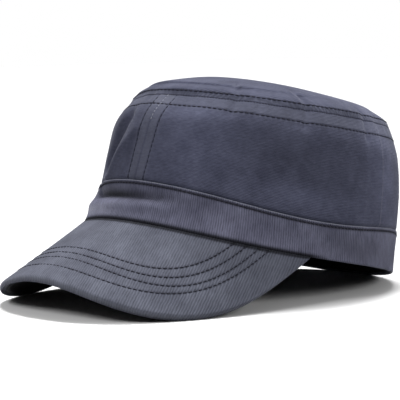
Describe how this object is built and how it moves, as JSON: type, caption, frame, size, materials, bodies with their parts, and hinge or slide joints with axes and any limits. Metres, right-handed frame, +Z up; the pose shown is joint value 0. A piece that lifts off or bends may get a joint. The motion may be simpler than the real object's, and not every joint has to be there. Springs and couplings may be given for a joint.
{
  "type": "patrol cap",
  "caption": "Slate grey-blue cotton twill patrol cap with a domed top panel, a plain band and a stiff arched peak with rows of stitches.",
  "frame": {"origin": "middle of the outline in plan, on the surface that the cap rests on", "axes": "+Z up from that surface, -Y towards the front of the peak, +X towards the wearer's left"},
  "size_m": [0.1738, 0.2616, 0.1291],
  "materials": {
    "crown_twill": "matt slate cotton twill",
    "band_twill": "matt slate cotton twill, weave upright",
    "peak_twill": "matt slate cotton twill over stiff board",
    "dark_lining": "matt near-black cotton"
  },
  "bodies": {
    "root": {"top_panel": "crown_twill", "left_side_panel": "crown_twill", "right_side_panel": "crown_twill", "back_panel": "crown_twill", "band": "band_twill", "sweatband": "dark_lining", "peak": "peak_twill", "peak_under_cover": "dark_lining"}
  },
  "joints": []
}
